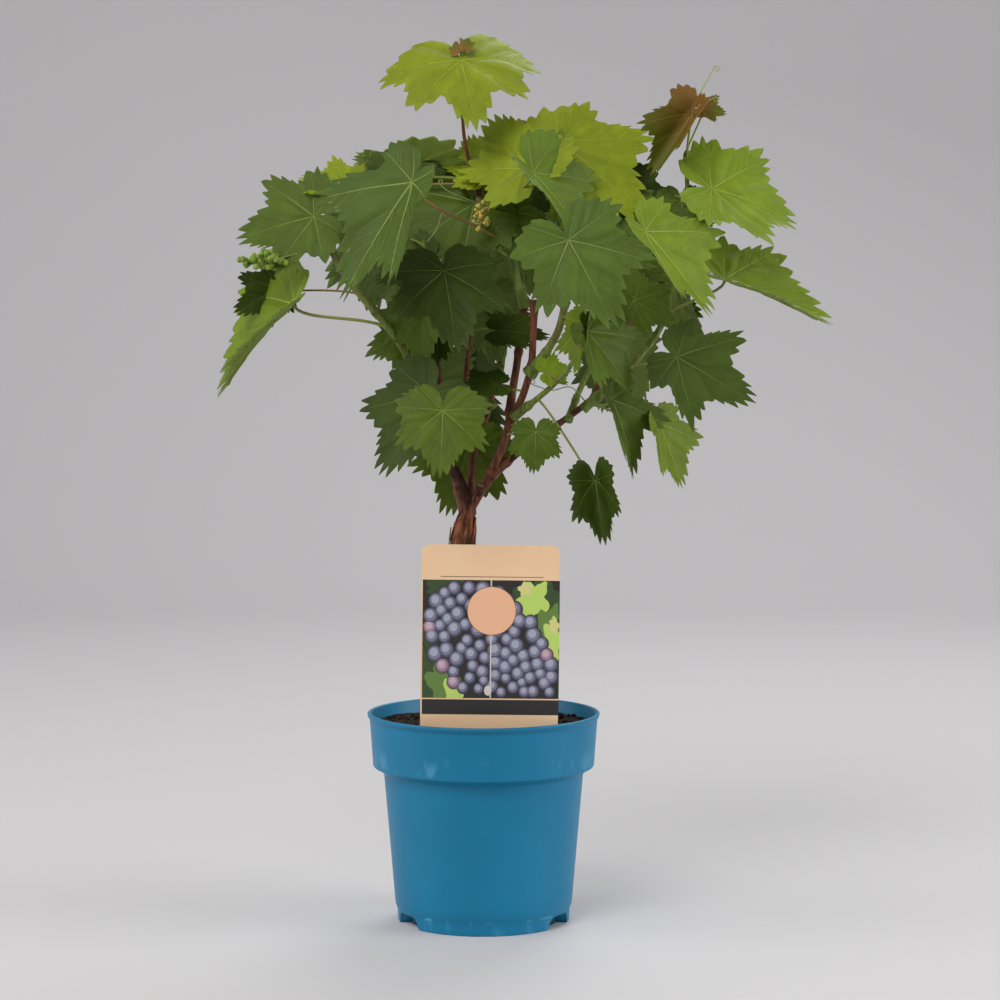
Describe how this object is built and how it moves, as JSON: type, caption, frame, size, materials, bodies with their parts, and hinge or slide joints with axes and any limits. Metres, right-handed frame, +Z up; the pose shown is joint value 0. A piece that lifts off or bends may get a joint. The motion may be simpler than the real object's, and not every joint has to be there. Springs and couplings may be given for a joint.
{
  "type": "potted grapevine",
  "caption": "Young grapevine in a round nursery pot: a short woody trunk forks into canes and leafy shoots that form an open crown.",
  "frame": {"origin": "centre of the pot's flat underside", "axes": "+Z up, -Y towards the front, where the label card stands, +X to the right seen from the front"},
  "size_m": [0.45, 0.267, 0.643],
  "materials": {
    "pot_plastic": "moulded polypropylene, soft sheen, lightly scuffed",
    "peat": "crumbly dark peat",
    "card": "coated printed card",
    "bark": "peeling bark",
    "cane_wood": "smooth red-brown bark",
    "green_shoot": "green stem, faintly ribbed",
    "leaf": "blistered leaf",
    "leaf_under": "pale felted leaf underside",
    "leaf_vein": "raised vein",
    "young_leaf": "thin young leaf",
    "berry": "young green berries and flower buds"
  },
  "bodies": {
    "root": {"back_cane": "cane_wood", "back_left_shoot": "green_shoot", "back_right_shoot": "green_shoot", "back_shoot": "green_shoot", "centre_shoot": "green_shoot", "crown_shoot": "green_shoot", "front_shoot": "green_shoot", "label_card": "card", "leaves_back_high": "leaf", "leaves_back_left": "leaf", "leaves_back_left_high": "leaf", "leaves_back_low_left": "leaf", "leaves_back_low_right": "leaf", "leaves_back_middle": "leaf", "leaves_back_right": "leaf", "leaves_behind_left": "leaf", "leaves_far_left": "leaf", "leaves_far_right": "leaf", "leaves_front_left": "leaf", "leaves_front_right": "leaf", "leaves_hanging_low": "leaf", "leaves_inner": "leaf", "leaves_inner_left": "leaf", "leaves_left": "leaf", "leaves_left_behind": "leaf", "leaves_low_behind": "leaf", "leaves_low_far_right": "leaf", "leaves_low_front": "leaf", "leaves_low_left": "leaf", "leaves_low_right": "leaf", "leaves_middle_behind": "leaf", "leaves_middle_left": "leaf", "leaves_right_behind": "leaf", "leaves_right_high": "young_leaf", "leaves_right_inner": "leaf", "leaves_right_low": "leaf", "leaves_right_middle": "leaf", "leaves_right_side": "leaf", "leaves_right_tip": "young_leaf", "leaves_small_low": "leaf", "leaves_top": "young_leaf", "leaves_upper_front": "leaf", "leaves_upper_middle": "leaf", "leaves_upper_right": "young_leaf", "left_cane": "cane_wood", "left_shoot": "green_shoot", "left_upper_shoot": "green_shoot", "main_cane": "cane_wood", "pot": "pot_plastic", "right_cane": "cane_wood", "right_cane_tip": "cane_wood", "right_shoot": "green_shoot", "second_cane": "cane_wood", "soil": "peat", "thin_cane": "cane_wood", "top_shoot": "cane_wood", "trunk": "bark"}
  },
  "joints": []
}
